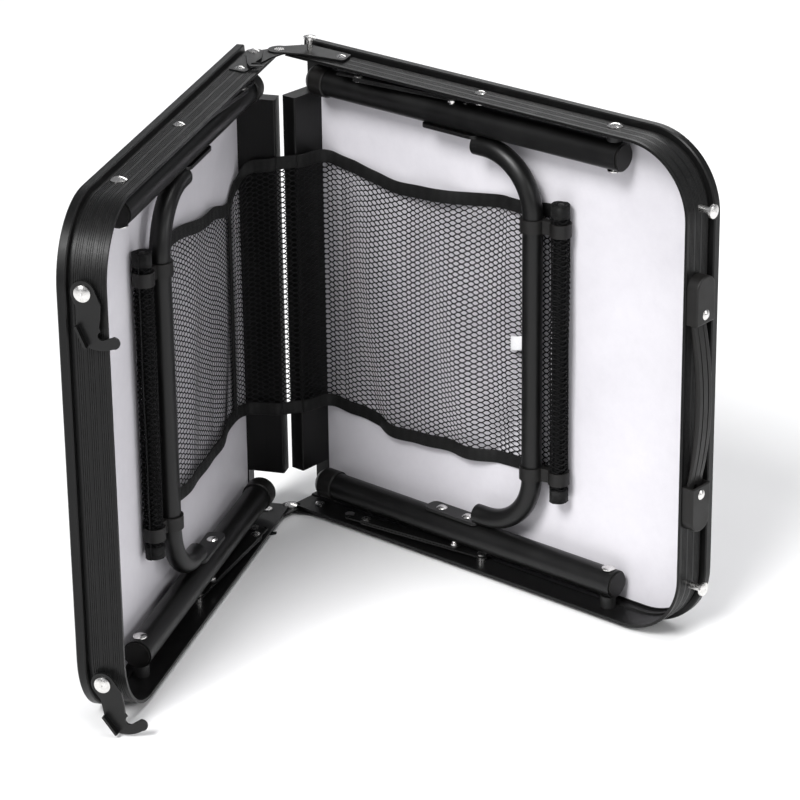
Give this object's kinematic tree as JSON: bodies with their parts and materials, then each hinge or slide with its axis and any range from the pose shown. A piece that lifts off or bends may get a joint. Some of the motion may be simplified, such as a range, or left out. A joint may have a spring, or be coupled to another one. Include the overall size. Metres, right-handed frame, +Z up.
{
  "type": "folding table",
  "caption": "Low camping table that folds in half like a suitcase, with swinging leg frames, folding braces, a net shelf, hook latches and a carrying handle.",
  "frame": {"origin": "under the middle of the object, on the ground that its long edges stand on", "axes": "+Z up; -Y towards the open side between the two halves; +X to the half with the handle"},
  "size_m": [0.55, 0.411, 0.46],
  "materials": {
    "frame_aluminium": "satin",
    "tube_aluminium": "satin",
    "board": "satin",
    "rubber_black": "matte",
    "net": "matte",
    "plastic_black": "matte",
    "plated_steel": "satin",
    "rivet_steel": "polished"
  },
  "bodies": {
    "right_half": {"right_rail_frame": "frame_aluminium", "right_table_top": "board", "right_cross_rail": "frame_aluminium", "right_leg_pivots": "rivet_steel", "right_brace_rail_rivets": "rivet_steel", "right_hinge_leaf_bottom": "plated_steel", "right_hinge_leaf_top": "plated_steel", "right_leaf_rivets": "rivet_steel", "fold_pins": "rivet_steel", "lock_studs": "rivet_steel", "latch_studs": "rivet_steel", "handle_cap_bottom": "plastic_black", "handle_cap_top": "plastic_black", "handle_rivets": "rivet_steel", "right_net": "net"},
    "left_half": {"left_rail_frame": "frame_aluminium", "left_table_top": "board", "left_cross_rail": "frame_aluminium", "left_leg_pivots": "rivet_steel", "left_brace_rail_rivets": "rivet_steel", "left_hinge_leaf_bottom": "plated_steel", "left_hinge_leaf_top": "plated_steel", "left_leaf_rivets": "rivet_steel", "lock_hook_rivets": "rivet_steel", "side_latch_pins": "rivet_steel", "left_net": "net"},
    "handle_grip": {"handle_grip": "plastic_black"},
    "lock_hook_bottom": {"lock_hook_bottom": "plated_steel"},
    "lock_hook_top": {"lock_hook_top": "plated_steel"},
    "side_latch_bottom": {"side_latch_bottom": "plated_steel"},
    "side_latch_top": {"side_latch_top": "plated_steel"},
    "right_legs": {"right_leg_tube_bottom": "tube_aluminium", "right_leg_tube_top": "tube_aluminium", "right_foot_bottom": "rubber_black", "right_foot_top": "rubber_black", "right_leg_plugs": "rubber_black", "right_leg_bar": "tube_aluminium", "right_leg_rivets": "rivet_steel", "right_roll_clips": "plastic_black", "right_net_roll": "net"},
    "right_brace_rail_links": {"right_brace_rail_link_bottom": "plated_steel", "right_brace_rail_link_top": "plated_steel", "right_brace_knee_rivets": "rivet_steel"},
    "right_brace_leg_links": {"right_brace_leg_link_bottom": "plated_steel", "right_brace_leg_link_top": "plated_steel"},
    "left_legs": {"left_leg_tube_bottom": "tube_aluminium", "left_leg_tube_top": "tube_aluminium", "left_foot_bottom": "rubber_black", "left_foot_top": "rubber_black", "left_leg_plugs": "rubber_black", "left_leg_bar": "tube_aluminium", "left_leg_rivets": "rivet_steel", "left_roll_clips": "plastic_black", "left_net_roll": "net"},
    "left_brace_rail_links": {"left_brace_rail_link_bottom": "plated_steel", "left_brace_rail_link_top": "plated_steel", "left_brace_knee_rivets": "rivet_steel"},
    "left_brace_leg_links": {"left_brace_leg_link_bottom": "plated_steel", "left_brace_leg_link_top": "plated_steel"}
  },
  "joints": [
    {"name": "table_fold", "type": "hinge", "parent": "right_half", "child": "left_half", "pos_m": [0, 0.18473, 0.225], "axis": [0, 0, -1], "range_deg": [-65, 115]},
    {"name": "right_leg_swing", "type": "hinge", "parent": "right_half", "child": "right_legs", "pos_m": [0.20815, -0.10477, 0.225], "axis": [0, 0, 1], "range_deg": [0, 90], "deforming": ["right_net"]},
    {"name": "right_brace_rail_pivot", "type": "hinge", "parent": "right_half", "child": "right_brace_rail_links", "pos_m": [0.13101, 0.01446, 0.225], "axis": [0, 0, 1], "range_deg": [0, 124.75]},
    {"name": "right_brace_knee", "type": "hinge", "parent": "right_brace_rail_links", "child": "right_brace_leg_links", "pos_m": [0.05235, 0.11368, 0.225], "axis": [0, 0, 1], "range_deg": [-180, 0]},
    {"name": "left_leg_swing", "type": "hinge", "parent": "left_half", "child": "left_legs", "pos_m": [-0.20815, -0.10477, 0.225], "axis": [0, 0, -1], "range_deg": [0, 90], "deforming": ["left_net"]},
    {"name": "left_brace_rail_pivot", "type": "hinge", "parent": "left_half", "child": "left_brace_rail_links", "pos_m": [-0.13101, 0.01446, 0.225], "axis": [0, 0, -1], "range_deg": [0, 124.75]},
    {"name": "left_brace_knee", "type": "hinge", "parent": "left_brace_rail_links", "child": "left_brace_leg_links", "pos_m": [-0.05235, 0.11368, 0.225], "axis": [0, 0, -1], "range_deg": [-180, 0]},
    {"name": "lock_hook_bottom_turn", "type": "hinge", "parent": "left_half", "child": "lock_hook_bottom", "pos_m": [-0.02378, 0.18091, 0.003], "axis": [0, 0, 1], "range_deg": [0, 162]},
    {"name": "lock_hook_top_turn", "type": "hinge", "parent": "left_half", "child": "lock_hook_top", "pos_m": [-0.02378, 0.18091, 0.447], "axis": [0, 0, 1], "range_deg": [0, 162]},
    {"name": "side_latch_bottom_turn", "type": "hinge", "parent": "left_half", "child": "side_latch_bottom", "pos_m": [-0.25675, -0.18479, 0.0455], "axis": [0.5373, 0.8434, 0], "range_deg": [-68.8, 0]},
    {"name": "side_latch_top_turn", "type": "hinge", "parent": "left_half", "child": "side_latch_top", "pos_m": [-0.25675, -0.18479, 0.3855], "axis": [0.5373, 0.8434, 0], "range_deg": [-81.8, 0]},
    {"name": "handle_lift", "type": "slide", "parent": "right_half", "child": "handle_grip", "axis": [0.5373, -0.8434, 0], "range_m": [0, 0.004]}
  ],
  "couplings": [
    {"joint": "right_brace_rail_pivot", "follows": "right_leg_swing", "ratio": 1.3861},
    {"joint": "right_brace_knee", "follows": "right_leg_swing", "ratio": -2},
    {"joint": "left_brace_rail_pivot", "follows": "left_leg_swing", "ratio": 1.3861},
    {"joint": "left_brace_knee", "follows": "left_leg_swing", "ratio": -2}
  ]
}
